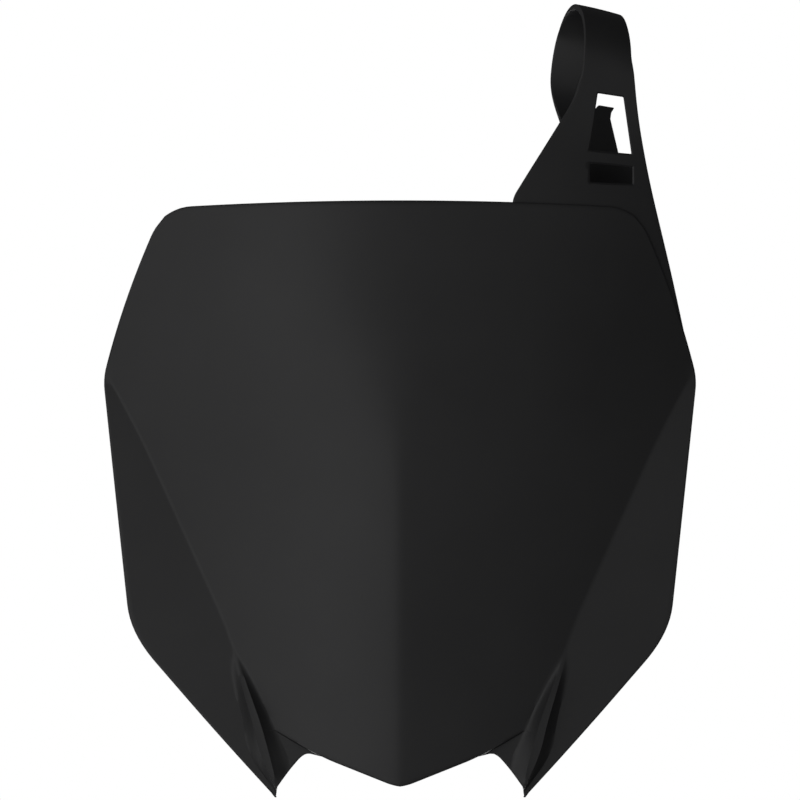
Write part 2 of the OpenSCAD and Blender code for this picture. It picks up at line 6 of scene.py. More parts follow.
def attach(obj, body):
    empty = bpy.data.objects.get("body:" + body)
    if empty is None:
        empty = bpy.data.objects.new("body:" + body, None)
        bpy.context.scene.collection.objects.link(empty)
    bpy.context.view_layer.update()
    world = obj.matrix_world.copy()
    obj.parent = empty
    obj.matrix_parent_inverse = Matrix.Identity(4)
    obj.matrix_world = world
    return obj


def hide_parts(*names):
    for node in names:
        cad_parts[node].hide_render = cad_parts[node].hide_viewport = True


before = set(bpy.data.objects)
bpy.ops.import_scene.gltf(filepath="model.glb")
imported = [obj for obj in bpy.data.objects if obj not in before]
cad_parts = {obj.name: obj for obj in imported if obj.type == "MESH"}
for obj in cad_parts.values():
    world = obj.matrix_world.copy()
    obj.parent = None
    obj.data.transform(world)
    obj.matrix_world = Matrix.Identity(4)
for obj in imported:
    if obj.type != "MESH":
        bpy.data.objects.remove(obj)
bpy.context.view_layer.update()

mm = 0.001
scene = bpy.context.scene


# small helpers, all in millimetres unless a line says metres

def mix(a, b, t):
    return a + (b - a) * t


def mixPair(a, b, t):
    return (mix(a[0], b[0], t), mix(a[1], b[1], t))


def ramp(p, a, b):
    t = min(1, max(0, (p - a) / (b - a)))
    return t * t * (3 - 2 * t)


def straight(stops, p):   # straight runs between (position, value) stops, level outside them
    if p <= stops[0][0]:
        return stops[0][1]
    for i in range(1, len(stops)):
        if p <= stops[i][0]:
            a, b = stops[i - 1], stops[i]
            return mix(a[1], b[1], (p - a[0]) / (b[0] - a[0]))
    return stops[-1][1]


def bent(line, p):   # the same with a parabolic bend at each inner stop: (position, value, reach)
    value = straight(line, p)
    for i in range(1, len(line) - 1):
        reach = line[i][2]
        inside = reach - abs(p - line[i][0])
        if inside > 0:
            before = (line[i][1] - line[i - 1][1]) / (line[i][0] - line[i - 1][0])
            after = (line[i + 1][1] - line[i][1]) / (line[i + 1][0] - line[i][0])
            value += (after - before) * inside * inside / (4 * reach)
    return value


def shade(mesh, sharpAngle):
    mesh.shade_smooth()
    mesh.set_sharp_from_angle(angle=radians(sharpAngle))


def flatShading(piece):   # keeps large flat faces evenly shaded beside their rounded edges
    steady = piece.modifiers.new("flatShading", "WEIGHTED_NORMAL")
    steady.keep_sharp = True
    return piece


def newObject(name, bm):   # a finished bmesh in millimetres becomes an object in metres
    bmesh.ops.scale(bm, vec=(mm, mm, mm), verts=bm.verts)
    mesh = bpy.data.meshes.new(name)
    bm.to_mesh(mesh)
    bm.free()
    piece = bpy.data.objects.new(name, mesh)
    scene.collection.objects.link(piece)
    shade(mesh, 40)
    return piece


def closeSeams(bm, gap):   # and turns the faces outwards
    bmesh.ops.remove_doubles(bm, verts=bm.verts, dist=gap)
    bmesh.ops.recalc_face_normals(bm, faces=bm.faces)


def slab(points, along):   # a flat face through the points, drawn out into a body
    bm = bmesh.new()
    face = bm.faces.new([bm.verts.new(point) for point in points])
    grown = bmesh.ops.extrude_face_region(bm, geom=[face])["geom"]
    moved = [g for g in grown if isinstance(g, bmesh.types.BMVert)]
    bmesh.ops.translate(bm, vec=along, verts=moved)
    bmesh.ops.recalc_face_normals(bm, faces=bm.faces)
    return bm


def soften(bm, edges, size, segments=3):
    bmesh.ops.bevel(bm, geom=edges, offset=size, segments=segments,
                    affect="EDGES", profile=0.5, material=-1)


def softenSharp(bm, size):   # rounds every edge that turns by more than 50 degrees
    sharp = [e for e in bm.edges if len(e.link_faces) == 2 and e.calc_face_angle() > radians(50)]
    soften(bm, sharp, size)


def sliceAt(bm, place, across):
    everything = bm.verts[:] + bm.edges[:] + bm.faces[:]
    bmesh.ops.bisect_plane(bm, geom=everything, plane_co=place, plane_no=across)


def prism(outline, forward, back, rounding=0.4):   # an outline in the front view, drawn out to the back
    bm = slab([(x, forward, z) for x, z in outline], (0, back - forward, 0))
    if rounding:
        walls = [e for e in bm.edges if abs(e.verts[0].co.y - e.verts[1].co.y) > 0.5 * abs(back - forward)]
        soften(bm, walls, rounding)
    return bm


def cutOut(piece, tools, sharpAngle):   # takes each tool away from the piece
    for tool in tools:
        cut = piece.modifiers.new("cut", "BOOLEAN")
        cut.operation = "DIFFERENCE"
        cut.solver = "EXACT"
        cut.object = tool
    depsgraph = bpy.context.evaluated_depsgraph_get()
    mesh = bpy.data.meshes.new_from_object(piece.evaluated_get(depsgraph))
    piece.modifiers.clear()
    piece.data = mesh
    for tool in tools:
        bpy.data.objects.remove(tool)
    shade(mesh, sharpAngle)


# the satin black moulded plastic

plastic = dict(
    dark=(0.027, 0.027, 0.028, 1), light=(0.033, 0.033, 0.034, 1), ior=1.49,
    roughLow=0.36, roughHigh=0.44,
    # a large moulding's slow flow marks, then the mould's fine grain: sizes per metre, depths in metres
    flowSize=16, flowDetail=3, flowFrom=0.35, flowTo=0.65, flowDepth=0.00025, flowBump=0.3,
    grainSize=2400, grainDetail=2, grainFrom=0.3, grainTo=0.7, grainDepth=0.00001, grainBump=0.5,
)


def blackPlastic(look):
    mat = bpy.data.materials.new("satinBlackPlastic")
    mat.use_nodes = True
    nodes, links = mat.node_tree.nodes, mat.node_tree.links
    shader = nodes["Principled BSDF"]
    shader.inputs["IOR"].default_value = look["ior"]
    where = nodes.new("ShaderNodeTexCoord")

    def noise(scale, detail):
        node = nodes.new("ShaderNodeTexNoise")
        node.inputs["Scale"].default_value = scale
        node.inputs["Detail"].default_value = detail
        links.new(where.outputs["Object"], node.inputs["Vector"])
        return node.outputs["Fac"]

    def bump(height, strength, depth):
        node = nodes.new("ShaderNodeBump")
        node.inputs["Strength"].default_value = strength
        node.inputs["Distance"].default_value = depth
        links.new(height, node.inputs["Height"])
        return node

    grain = noise(look["grainSize"], look["grainDetail"])
    flow = noise(look["flowSize"], look["flowDetail"])
    colour = nodes.new("ShaderNodeValToRGB")
    colour.color_ramp.elements[0].color = look["dark"]
    colour.color_ramp.elements[0].position = look["flowFrom"]
    colour.color_ramp.elements[1].color = look["light"]
    colour.color_ramp.elements[1].position = look["flowTo"]
    links.new(flow, colour.inputs["Fac"])
    links.new(colour.outputs["Color"], shader.inputs["Base Color"])
    rough = nodes.new("ShaderNodeMapRange")
    rough.inputs["From Min"].default_value = look["grainFrom"]
    rough.inputs["From Max"].default_value = look["grainTo"]
    rough.inputs["To Min"].default_value = look["roughLow"]
    rough.inputs["To Max"].default_value = look["roughHigh"]
    links.new(grain, rough.inputs["Value"])
    links.new(rough.outputs["Result"], shader.inputs["Roughness"])
    flowBump = bump(flow, look["flowBump"], look["flowDepth"])
    grainBump = bump(grain, look["grainBump"], look["grainDepth"])
    links.new(flowBump.outputs["Normal"], grainBump.inputs["Normal"])
    links.new(grainBump.outputs["Normal"], shader.inputs["Normal"])
    return mat


satinBlack = blackPlastic(plastic)


def finishPiece(piece):
    piece.data.materials.clear()
    piece.data.materials.append(satinBlack)
    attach(piece, "root")
    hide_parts("number_board")
    print("made", piece.name, len(piece.data.polygons), "faces")


# camera, floor and light

view = dict(away=8.0, level=42.2 * mm, across=337.6 * mm, clipEnd=100, sensor=36)   # the sensor in mm


def addCamera():
    data = bpy.data.cameras.new("camera")
    data.sensor_width = view["sensor"]
    data.lens = data.sensor_width * view["away"] / view["across"]
    data.clip_end = view["clipEnd"]
    camera = bpy.data.objects.new("camera", data)
    camera.location = (0, -view["away"], view["level"])
    camera.rotation_euler = (pi / 2, 0, 0)
    scene.collection.objects.link(camera)
    scene.camera = camera


studio = dict(   # in metres
    floorLevel=-0.32, floorHalf=1.3, floorGrey=0.8, floorRough=0.9, floorGlow=0.65,
    sky=1.0, ambient=0.035,   # what the camera sees behind the board, and what lights it
    boxes=[   # azimuth and elevation in degrees, distance, width, height, watts
        (-30, 0, 3.0, 1.6, 6.0, 22.2),
        (-62, 0, 3.0, 1.6, 6.0, 13.8),
        (-105, 0, 3.0, 2.2, 6.0, 18.0),
        (0, 0, 3.0, 1.4, 6.0, 6.2),
        (30, 0, 3.0, 1.6, 6.0, 6.0),
        (62, 0, 3.0, 1.6, 6.0, 2.0),
        (180, -30, 3.0, 3.0, 2.4, 42.0),
    ],
)


def addFloor():
    bm = bmesh.new()
    bmesh.ops.create_grid(bm, x_segments=1, y_segments=1, size=studio["floorHalf"])
    bmesh.ops.translate(bm, vec=(0, 0, studio["floorLevel"]), verts=bm.verts)
    mesh = bpy.data.meshes.new("floor")
    bm.to_mesh(mesh)
    bm.free()
    floor = bpy.data.objects.new("floor", mesh)
    scene.collection.objects.link(floor)
    paint = bpy.data.materials.new("paleFloor")
    paint.use_nodes = True
    shader = paint.node_tree.nodes["Principled BSDF"]
    grey = studio["floorGrey"]
    shader.inputs["Base Color"].default_value = (grey, grey, grey, 1)
    shader.inputs["Roughness"].default_value = studio["floorRough"]
    shader.inputs["Emission Color"].default_value = (1, 1, 1, 1)
    shader.inputs["Emission Strength"].default_value = studio["floorGlow"]
    mesh.materials.append(paint)
    floor.visible_diffuse = floor.visible_glossy = False   # it stays out of the board's dark sides
    floor.visible_shadow = False                           # and the low box behind shines up through it


def addLights():
    for i, (azimuth, elevation, away, width, height, strength) in enumerate(studio["boxes"]):
        light = bpy.data.lights.new("softbox%d" % i, "AREA")
        light.shape = "RECTANGLE"
        light.size, light.size_y = width, height
        light.energy = strength
        lamp = bpy.data.objects.new("softbox%d" % i, light)
        a, e = radians(azimuth), radians(elevation)
        back = Vector((sin(a) * cos(e), -cos(a) * cos(e), sin(e)))
        lamp.location = back * away
        lamp.rotation_mode = "QUATERNION"
        lamp.rotation_quaternion = back.to_track_quat("Z", "Y")
        lamp.visible_camera = False
        scene.collection.objects.link(lamp)


def addWorld():
    world = bpy.data.worlds.new("studio")
    scene.world = world
    world.use_nodes = True
    nodes, links = world.node_tree.nodes, world.node_tree.links
    nodes.clear()

    def background(strength):
        node = nodes.new("ShaderNodeBackground")
        node.inputs["Color"].default_value = (1, 1, 1, 1)
        node.inputs["Strength"].default_value = strength
        return node.outputs["Background"]

    out = nodes.new("ShaderNodeOutputWorld")
    path = nodes.new("ShaderNodeLightPath")
    either = nodes.new("ShaderNodeMixShader")
    links.new(path.outputs["Is Camera Ray"], either.inputs["Fac"])
    links.new(background(studio["ambient"]), either.inputs[1])
    links.new(background(studio["sky"]), either.inputs[2])
    links.new(either.outputs["Shader"], out.inputs["Surface"])
    scene.view_settings.view_transform = "Standard"


addCamera()
addFloor()
addLights()
addWorld()
print("camera and studio are set")


# the shell: its outline, crease and lip in the front view

board = dict(
    width=250.88, widestLevel=51.5, topLevel=126.2, topArch=1700, topInset=7,
    cornerWidth=198.6, cornerRun=11, cornerRound=17, sideBow=2.6,
    hipWidth=227.2, hipLevel=-56, tuskSpread=104.6, tuskLevel=-125.2, keelTipLevel=-120.3,
    wall=2.6, boltBack=41.99, crownRadius=236, bowRadius=650, bowLevel=-20,
    keelSlope=0.15, keelRound=2.6, keelFade=31, keelFadeFrom=-20, keelFadeRun=85,   # the keel fades upwards
    wingSlope=0.06, creaseFillet=1.1, creaseInset=2.4, creaseInsetTop=6,
    finStart=-63, finHeight=6, finRun=30, finPower=1.35, finThinning=0.25, finThinRun=13,
    lipStep=0.4, stepDraft=0.7, padRows=5, padCols=4, edgeRound=0.6, backRound=0.3, colSpread=1.6,
)
topLevel, tuskLevel, finStart = board["topLevel"], board["tuskLevel"], board["finStart"]
widestLevel, keelTip = board["widestLevel"], board["keelTipLevel"]
cornerHalf = board["cornerWidth"] / 2
topInner = cornerHalf - board["topInset"]
tuskHalf = board["tuskSpread"] / 2


def topEdge(x):
    arch = x * x / (2 * board["topArch"])
    corner = max(0, x - cornerHalf + board["cornerRun"]) ** 2 / (2 * board["cornerRound"])
    return topLevel - arch - corner


# points as (level, half width), lines with the reach of each bend behind them
shoulder = (topLevel - 11.2, cornerHalf + 4.2)
hip = (board["hipLevel"], board["hipWidth"] / 2)
widest = (widestLevel, board["width"] / 2)
tusk = (tuskLevel, tuskHalf)
edgeLine = [
    (*tusk, 1),
    (mix(tusk[0], hip[0], 0.37), mix(tusk[1], hip[1], 0.37) + 0.8, 18),
    (*hip, 12),
    (*widest, 5),
    (mix(widest[0], shoulder[0], 0.5), mix(widest[1], shoulder[1], 0.5) + board["sideBow"], 25),
    (*shoulder, 4),
    (topEdge(cornerHalf), cornerHalf, 1),
]


def edgeAt(z):
    return bent(edgeLine, z)


notchTip = (tuskHalf - 0.7, tuskLevel + 4.6)
creaseLine = [
    (notchTip[1], notchTip[0], 1),
    (mix(notchTip[1], finStart, 0.22), tuskHalf + 2.4, 5),
    (mix(notchTip[1], finStart, 0.46), tuskHalf + 6.2, 6),
    (mix(notchTip[1], finStart, 0.72), tuskHalf + 11.6, 6),
    (finStart, tuskHalf + 17.3, 1.5),
    (finStart + 13, tuskHalf + 22, 6),
    (widestLevel - 24.5, widest[1] - 16.3, 14),
    (widestLevel, edgeAt(widestLevel) - board["creaseInset"], 1),
]


def creaseAt(z):
    if z > widestLevel:
        share = (z - widestLevel) / (topLevel - widestLevel)
        return edgeAt(z) - mix(board["creaseInset"], board["creaseInsetTop"], share)
    return bent(creaseLine, z)


# how far the fin's feet lie inside and outside the crease
fillet = board["creaseFillet"]
notchFootLevel = tuskLevel + 11.8
innerGap = [
    (notchFootLevel, 7.4, 1),
    (notchFootLevel + 7.4, 7.6, 4),
    (notchFootLevel + 16.4, 5.2, 6),
    (finStart - 19, 3.8, 6),
    (finStart - 3, fillet, 6),
    (finStart, fillet, 1),
]
outerGap = [
    (tuskLevel + 2.3, 0.7, 1),
    (tuskLevel + 17.3, 9, 8),
    (finStart - 17, 5.6, 6),
    (finStart - 7.5, 3.8, 3),
    (finStart, fillet, 1),
]


def innerAt(z):
    return creaseAt(z) - bent(innerGap, z)


def outerAt(z):
    return creaseAt(z) + bent(outerGap, z)


# the lip and the notch below it, as (half width, level)
lipSideLevel = keelTip + 23.7
lipSide = (innerAt(lipSideLevel), lipSideLevel)
lipBend = (tuskHalf - 19.3, keelTip + 12.3)
lipLine = [(0, keelTip, 1), (3, keelTip + 0.4, 3), (*lipBend, 6), (*lipSide, 1)]
notchTop = (tuskHalf - 12.7, keelTip + 14.5)
notchLine = [
    (lipBend[0] + 1, lipBend[1] + 0.7, 1),
    (*notchTop, 3),
    (notchTop[0] + 5.9, mix(notchTop[1], notchTip[1], 0.42), 4),
    (*notchTip, 1),
]
notchStart = notchTop[0] - 1.2
notchFoot = innerAt(notchFootLevel)


# the shell: its depth, with the crown, the bow, the keel that sharpens downwards and the creased wings

def faceDepth(x, z):
    fade = max(0, z - board["keelFadeFrom"]) / board["keelFadeRun"]
    spread = board["keelRound"] + board["keelFade"] * fade ** 4
    bow = (z - board["bowLevel"]) ** 2 / (2 * board["bowRadius"])
    crown = x * x / (2 * board["crownRadius"])
    keel = board["keelSlope"] * (hypot(x, spread) - spread)
    return bow - board["boltBack"] + crown + keel


def skinDepth(x, z):
    x = abs(x)
    start = creaseAt(z) - fillet
    if x <= start:
        return faceDepth(x, z)
    crease = start + fillet
    fall = (faceDepth(crease + 0.1, z) - faceDepth(crease - 0.1, z)) / 0.2
    near = min(x - start, 2 * fillet)
    far = max(0, x - start - 2 * fillet)
    turn = (board["wingSlope"] - fall) * near * near / (4 * fillet)
    wing = faceDepth(start, z) + fall * near + turn + board["wingSlope"] * far
    return mix(wing, faceDepth(x, z), ramp(z, widestLevel - 4, widestLevel + 6))


def skinSlant(x, z):
    across = skinDepth(x + 0.5, z) - skinDepth(x - 0.5, z)
    up = skinDepth(x, z + 0.5) - skinDepth(x, z - 0.5)
    return sqrt(1 + across * across + up * up)


# the shell's grid: rows run down from the top edge, columns out from the keel to the edge

# the web's start, the fin's inner foot, crest and outer foot, and the edge; the lip and the web's lower end
webCol, mainCol, crestCol, footCol, lastCol = 12, 16, 19, 22, 26
lipRow, lastRow = 27, 33
colStops = [(0, 0), (64, mainCol), (76, footCol), (96, lastCol)]        # fine columns against the layout's
rowStops = [(0, 0), (104, lipRow), (112, lipRow + 1), (128, lastRow)]   # and fine rows
fineCols, fineRows = colStops[-1][0], rowStops[-1][0]
flankIn = [(0, 0), (1, 0.35), (2, 0.75), (3, 1)]    # shares of the way from foot to crest
flankOut = [(0, 0), (1, 0.45), (2, 0.7), (3, 1)]    # and from crest over the flat top to the outer foot

# the rows' levels at the fin's inner foot and on the keel, and how far they drop on their way to the edge
sideRows = [(1, topLevel - 9), (9, widestLevel), (21, finStart + 0.5), (lipRow, lipSideLevel)]
keelRows = [(0, topLevel), (9, widestLevel + 2), (21, finStart - 6), (lipRow, keelTip)]
edgeDrops = [(1, 2), (3, 0), (18, 0), (21, 3.5), (lipRow, 6.6)]


def webShare(row):
    return max(0, (row - lipRow - 1) / (lastRow - lipRow - 1))


def spreadAt(col):
    return (col / mainCol) ** board["colSpread"]


def topPoint(col):
    if col <= mainCol:
        x = spreadAt(col) * topInner
    else:
        x = mix(topInner, cornerHalf, (col - mainCol) / (lastCol - mainCol))
    return (x, topEdge(x))


def lipPoint(col):
    x = spreadAt(col) * lipSide[0]
    return (x, bent(lipLine, x))


def sidePoint(row, col):
    level = straight(sideRows, min(row, lipRow)) - board["stepDraft"] * min(1, max(0, row - lipRow))
    share = webShare(row)
    innerZ = mix(level, notchFootLevel, share)
    crestZ = mix(level, notchTip[1], share)
    outerZ = mix(level, tuskLevel + 3, share)
    edgeZ = mix(level - straight(edgeDrops, min(row, lipRow)), tuskLevel, share)
    inner = (innerAt(innerZ), innerZ)
    crest = (creaseAt(crestZ), crestZ)
    if col <= crestCol:
        return mixPair(inner, crest, straight(flankIn, col - mainCol))
    outer = (outerAt(outerZ), outerZ)
    if col <= footCol:
        return mixPair(crest, outer, straight(flankOut, col - crestCol))
    return mixPair(outer, (edgeAt(edgeZ), edgeZ), (col - footCol) / (lastCol - footCol))


def facePoint(row, col):   # the face is stretched between its four edges
    u, v = spreadAt(col), row / lipRow
    top, low = topPoint(col), lipPoint(col)
    side = mixPair(topPoint(mainCol), sidePoint(1, mainCol), row) if row < 1 else sidePoint(row, mainCol)
    keel = (0, straight(keelRows, row))
    corner = topPoint(mainCol)
    shared = mixPair(mixPair((0, topLevel), corner, u), mixPair((0, keelTip), lipSide, u), v)
    x = mix(top[0], low[0], v) + mix(keel[0], side[0], u) - shared[0]
    z = mix(top[1], low[1], v) + mix(keel[1], side[1], u) - shared[1]
    return (x, z)


def webPoint(row, col):
    x = mix(notchStart, notchFoot, (col - webCol) / (mainCol - webCol))
    lip = lipPoint(col)
    draft = mix(0.2, 1, min(1, (col - webCol) / 2)) * board["stepDraft"]
    underLip = (lip[0], lip[1] - draft * min(1, row - lipRow))
    return mixPair(underLip, (x, bent(notchLine, x)), webShare(row))


def lowPoint(col):
    if col <= crestCol:
        x = mix(notchFoot, notchTip[0], (col - mainCol) / (crestCol - mainCol))
        return (x, bent(notchLine, x))
    return mixPair(notchTip, (tuskHalf, tuskLevel), (col - crestCol) / (lastCol - crestCol))


def frontView(row, col):   # place of a grid point in the front view, right half
    if col < mainCol:
        return facePoint(row, col) if row <= lipRow else webPoint(row, col)
    if row < 1:
        return mixPair(topPoint(col), sidePoint(1, col), row)
    if row > lastRow - 1:
        return mixPair(sidePoint(lastRow - 1, col), lowPoint(col), row - lastRow + 1)
    return sidePoint(row, col)


def finRise(col, z):   # concave flanks on both sides of a flat top
    if col <= mainCol or col >= footCol:
        return 0
    if col <= crestCol:
        near = straight(flankIn, col - mainCol)
    else:
        near = (1 - straight(flankOut, col - crestCol)) / (1 - flankOut[1][1])
    thinning = board["finThinning"] * ramp(-z, -tuskLevel - board["finThinRun"], -tuskLevel)
    tall = board["finHeight"] * (1 - thinning)
    return tall * min(1, near) ** board["finPower"] * ramp(finStart - z, 0, board["finRun"])


def recess(x, z):   # how far the flat web lies behind the face
    foot = innerAt(z)
    if x >= foot:
        return 0
    return skinDepth(foot, z) + board["wingSlope"] * (x - foot) - skinDepth(x, z)


def frontDepth(x, z, row, col):
    depth = skinDepth(x, z) - finRise(col, z)
    if row > lipRow:
        step = board["lipStep"] * straight([(0, 1), (1, 0.5), (2, 0)], col - mainCol) + recess(x, z)
        depth += step * ramp(row, lipRow, lipRow + 1)
    return depth


def backDepth(x, z, row, col):
    depth = skinDepth(x, z) + board["wall"] * skinSlant(x, z)
    if row > lipRow - board["padRows"]:   # the wall thickens to meet the web
        padded = ramp(row, lipRow - board["padRows"], lipRow)
        depth += recess(x, z) * padded * ramp(col, webCol - board["padCols"], webCol)
    return depth


def shellPlan():   # front view of every grid point, and the outward directions along the rim
    places = {}
    for i in range(fineRows + 1):
        for j in range(fineCols + 1):
            row, col = straight(rowStops, i), straight(colStops, j)
            if row <= lipRow or col >= webCol:
                places[i, j] = frontView(row, col)
    lip = next(i for i, row in rowStops if row == lipRow)
    web = round(webCol * colStops[1][0] / mainCol)
    path = [(0, j) for j in range(fineCols + 1)]
    path += [(i, fineCols) for i in range(1, fineRows + 1)]
    path += [(fineRows, j) for j in range(fineCols - 1, web - 1, -1)]
    path += [(i, web) for i in range(fineRows - 1, lip - 1, -1)]
    path += [(lip, j) for j in range(web - 1, -1, -1)]
    outs = {}
    for k, cell in enumerate(path):
        before = places[path[k - 1]] if k else (-places[path[1]][0], places[path[1]][1])
        last = k == len(path) - 1
        after = (-places[path[k - 1]][0], places[path[k - 1]][1]) if last else places[path[k + 1]]
        run = Vector((after[0] - before[0], after[1] - before[1])).normalized()
        outs[cell] = (-run.y, run.x)
    return places, outs, lip, web


def buildShell():
    places, outs, lip, web = shellPlan()
    slideCells, rounding = 4, 4   # cells that give way to the rim, and steps in the rim's rounding

    def thin(i, j):   # the rim's rounding dies out where the web starts behind the lip
        return straight([(webCol, 0.15), (webCol + 2, 1)], straight(colStops, j)) if i > lip else 1

    def pulledIn(i, j, inset):   # the cells beside a rim make room for its rounding
        near = [(i, (0, j)), (fineCols - j, (i, fineCols))]
        if i <= lip:
            near += [(lip - i, (lip, j))] if j <= web else []
        else:
            near += [(j - web, (i, web))]
        if j >= web:
            near += [(fineRows - i, (fineRows, j))]
        cells, rim = min(near)
        x, z = places[i, j]
        if cells >= slideCells:
            return x, z
        share = inset * thin(i, j) * (1 - cells / slideCells)
        return x - share * outs[rim][0], z - share * outs[rim][1]

    def sheet(bm, inset, depth):   # one side of the shell
        made = bmesh.ops.create_grid(bm, x_segments=2 * fineCols, y_segments=fineRows, size=1)
        keys, spare = {}, []
        for v in made["verts"]:
            j = round(v.co.x * fineCols)
            i = round((1 - v.co.y) / 2 * fineRows)
            if (i, abs(j)) not in places:
                spare.append(v)
                continue
            x, z = pulledIn(i, abs(j), inset)
            v.co = Vector((-x if j < 0 else x, depth(x, z, i, abs(j)), z))
            keys[v] = (i, j)
        bmesh.ops.delete(bm, geom=spare, context="VERTS")
        return keys

    def front(x, z, i, j):
        return frontDepth(x, z, straight(rowStops, i), straight(colStops, j))

    def behind(x, z, i, j):
        return backDepth(x, z, straight(rowStops, i), straight(colStops, j))

    bm = bmesh.new()
    keys = sheet(bm, board["edgeRound"], front)
    edges = [e for e in bm.edges if e.is_boundary]
    at = {v: keys[v] for e in edges for v in e.verts}
    outline = {}
    for key in at.values():
        i, j = key
        x, z = places[i, abs(j)]
        ox, oz = outs[i, abs(j)]
        near, far = front(x, z, i, abs(j)), behind(x, z, i, abs(j))
        outline[key] = (-1 if j < 0 else 1, x, z, ox, oz, near, far, thin(i, abs(j)))
    rings = []   # radius, share inwards, share in depth, whether it is at the front
    for k in range(1, rounding + 1):
        a = k * pi / 2 / rounding
        rings.append((board["edgeRound"], 1 - sin(a), 1 - cos(a), True))
    for k in range(rounding // 2 + 1):
        a = k * pi / rounding
        rings.append((board["backRound"], 1 - cos(a), 1 - sin(a), False))
    for size, inset, depth, fromFront in rings:   # the rim goes back ring by ring to meet the back sheet
        grown = bmesh.ops.extrude_edge_only(bm, edges=edges)["geom"]
        verts = {g for g in grown if isinstance(g, bmesh.types.BMVert)}
        edges = [g for g in grown if isinstance(g, bmesh.types.BMEdge) and set(g.verts) <= verts]
        spots = {v.co.copy().freeze(): key for v, key in at.items()}
        at = {v: spots[v.co.copy().freeze()] for v in verts}
        for v, key in at.items():
            side, x, z, ox, oz, near, far, share = outline[key]
            r = size * share
            y = near + r * depth if fromFront else far - r * depth
            v.co = Vector((side * (x - r * inset * ox), y, z - r * inset * oz))
    sheet(bm, board["backRound"], behind)
    closeSeams(bm, 0.002)
    return newObject("boardShell", bm)


finishPiece(buildShell())


# the tab and the strap: one long loft that follows the crown, flattens, and loops over the handlebar

strap = dict(
    inset=12, tabStep=1.2, tabThick=3, width=20.4, thick=2.4, height=53.8, rise=28, depth=51,
    yaw=0.27, backYaw=-0.06, skew=-0.235, lean=0.12, shift=0.11, crown=0.45, edgeRound=0.22,
    flare=2.2, narrowTop=0.09, narrowEnd=0.34, start=0, end=244,   # the last two in degrees round the loop
)
strapX = cornerHalf - strap["inset"]
loopLevel = topLevel + strap["height"]
tabLeft = [
    (topLevel - 18, strapX - 36, 1),
    (topLevel + 0.9, strapX - 39.8, 3.5),
    (loopLevel - 6, strapX - 10.4, 10),
    (loopLevel + 6, strapX - 10.3, 1),
]
tabRoot = (widestLevel + 10.5, edgeAt(widestLevel + 10.5) - 0.6)
tabRight = [
    (*tabRoot, 1),
    (topLevel - 31.5, strapX + 27.6, 8),
    (topLevel + 7.8, strapX + 18.2, 12),
    (topLevel + 33.8, strapX + 13.5, 10),
    (loopLevel + 6, strapX + 11, 1),
]
topLean = (topLevel - board["bowLevel"]) / board["bowRadius"]
bendFrom, bendTo = loopLevel - 40, loopLevel - 8    # the tab leaves the crown's slant between these levels


def loopLine(z):
    crown = faceDepth(strapX, min(z, topLevel)) + topLean * max(0, z - topLevel) + strap["tabStep"]
    run = min(max(0, z - bendFrom), bendTo - bendFrom)
    return crown - (topLean - strap["lean"]) * (run * run / 2 / (bendTo - bendFrom) + max(0, z - bendTo))


loopFront = loopLine(loopLevel)


def tabDepth(x, z):
    crown = faceDepth(x, min(z, topLevel)) - faceDepth(strapX, min(z, topLevel))
    return loopLine(z) + mix(crown, strap["yaw"] * (x - strapX), ramp(z, bendFrom, bendTo))


def tabSurface(t, u):
    leftZ = mix(tabLeft[0][0], loopLevel - 9, t)
    rightZ = mix(tabRoot[0], loopLevel - 9, t)
    side = (u + 1) / 2
    x = mix(bent(tabLeft, leftZ), bent(tabRight, rightZ), side)
    z = mix(leftZ, rightZ, side)
    return Vector((x, tabDepth(x, z), z))


def strapSurface(turn, u):   # turn in degrees round the loop, u from -1 to 1 across the strap
    lift = strap["rise"] * sin(radians(turn))
    reach = strap["depth"] / 2 * (1 - cos(radians(turn)))
    narrowing = 1 - strap["narrowTop"] * ramp(turn, -10, 60) - strap["narrowEnd"] * ramp(turn, 186, 236)
    half = strap["width"] / 2 * narrowing
    flare = strap["flare"] * (1 - ramp(turn, -12, 20)) * max(0, u)
    skew = strap["skew"] * ramp(turn, -12, 60)
    twist = mix(strap["yaw"], strap["backYaw"], ramp(turn, 70, 150))
    sag = strap["crown"] * u * u * ramp(turn, -12, 14) * (1 - ramp(turn, 60, 120))
    return Vector((
        strapX - strap["yaw"] * reach + strap["shift"] * lift + half * u + flare,
        loopFront + reach + strap["lean"] * lift + twist * half * u + sag * cos(radians(turn)),
        loopLevel + lift + skew * half * u - sag * sin(radians(turn)),
    ))


tabEnd, loopStart, bandEnd = 9, 10, 40   # stations along the tab, its join to the strap, and the strap


def bandSurface(s, u):
    if s <= tabEnd:
        return tabSurface(s / tabEnd, u)
    if s < loopStart:
        return tabSurface(1, u).lerp(strapSurface(strap["start"], u), s - tabEnd)
    return strapSurface(mix(strap["start"], strap["end"], (s - loopStart) / (bandEnd - loopStart)), u)


def bandInward(s, u):
    across = bandSurface(s, u + 0.1) - bandSurface(s, u - 0.1)
    along = bandSurface(min(bandEnd, s + 0.3), u) - bandSurface(max(0, s - 0.3), u)
    return along.cross(across).normalized()


def bandThick(s):
    return mix(strap["tabThick"], strap["thick"], ramp(s, tabEnd - 2, loopStart + 2))


